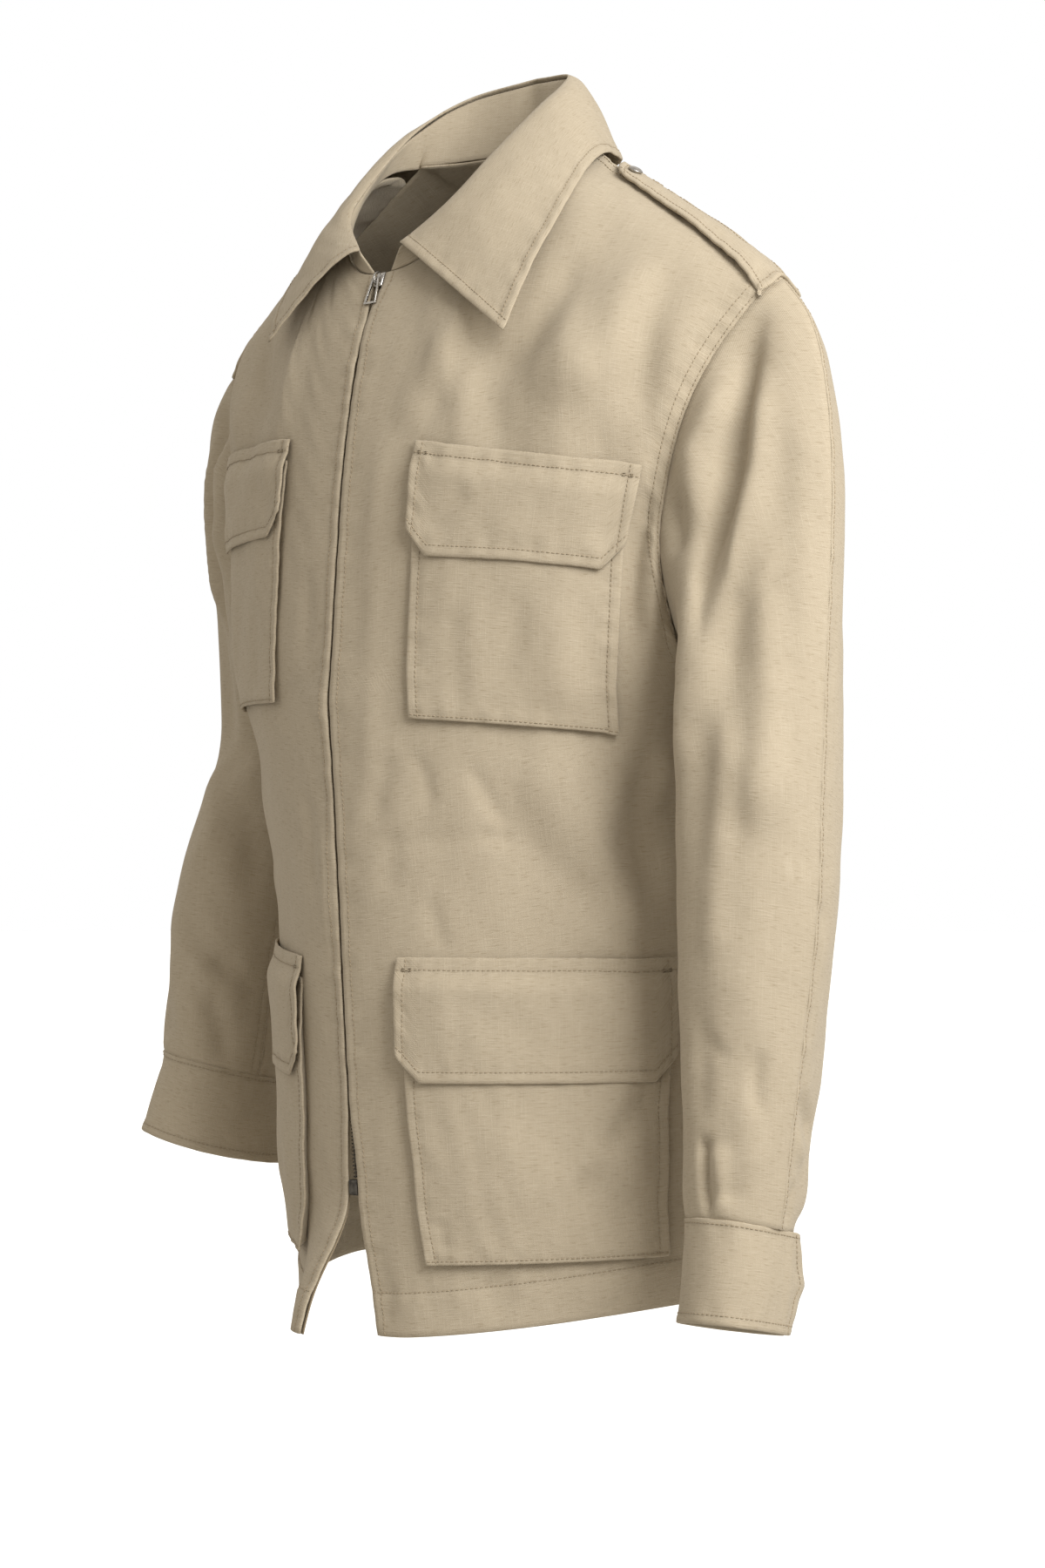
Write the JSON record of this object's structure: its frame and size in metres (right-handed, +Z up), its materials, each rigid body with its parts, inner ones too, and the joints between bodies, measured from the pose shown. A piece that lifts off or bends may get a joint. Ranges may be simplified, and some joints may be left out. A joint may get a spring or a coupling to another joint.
{
  "type": "cotton field jacket",
  "caption": "Hip-length cotton field jacket in hollow worn form, with shirt collar, shoulder straps, flapped patch pockets, split cuffs and a front zip.",
  "frame": {"origin": "between the shoulder tips, at the height of the neck, where the wearer's neck and shoulders carry the jacket", "axes": "+Z up, the front faces -Y, +X towards the wearer's left"},
  "size_m": [0.624, 0.3449, 0.8276],
  "materials": {
    "cotton": "matte cotton twill with slubs",
    "tape": "matte woven tape",
    "silver": "polished",
    "dark_metal": "dark satin"
  },
  "bodies": {
    "jacket": {"front_left": "cotton", "front_right": "cotton", "epaulette_left": "cotton", "epaulette_right": "cotton", "cuff_left": "cotton", "cuff_right": "cotton", "pocket_chest_left": "cotton", "pocket_chest_right": "cotton", "pocket_hip_left": "cotton", "pocket_hip_right": "cotton", "flap_chest_left": "cotton", "flap_chest_right": "cotton", "flap_hip_left": "cotton", "flap_hip_right": "cotton", "back": "cotton", "collar_stand": "cotton", "collar_fall": "cotton", "sleeve_left_front": "cotton", "sleeve_left_back": "cotton", "sleeve_right_front": "cotton", "sleeve_right_back": "cotton", "tape_left": "tape", "tape_right": "tape", "chain": "dark_metal", "slider_bottom": "dark_metal", "slider_top": "silver", "bail_top": "silver", "snap_left": "silver", "snap_right": "silver"},
    "pull": {"pull_tab": "silver"}
  },
  "joints": [
    {"name": "pull_tab_swing", "type": "hinge", "parent": "jacket", "child": "pull", "pos_m": [0, -0.1066, -0.09174], "axis": [-1, 0, 0], "range_deg": [0, 150]}
  ]
}
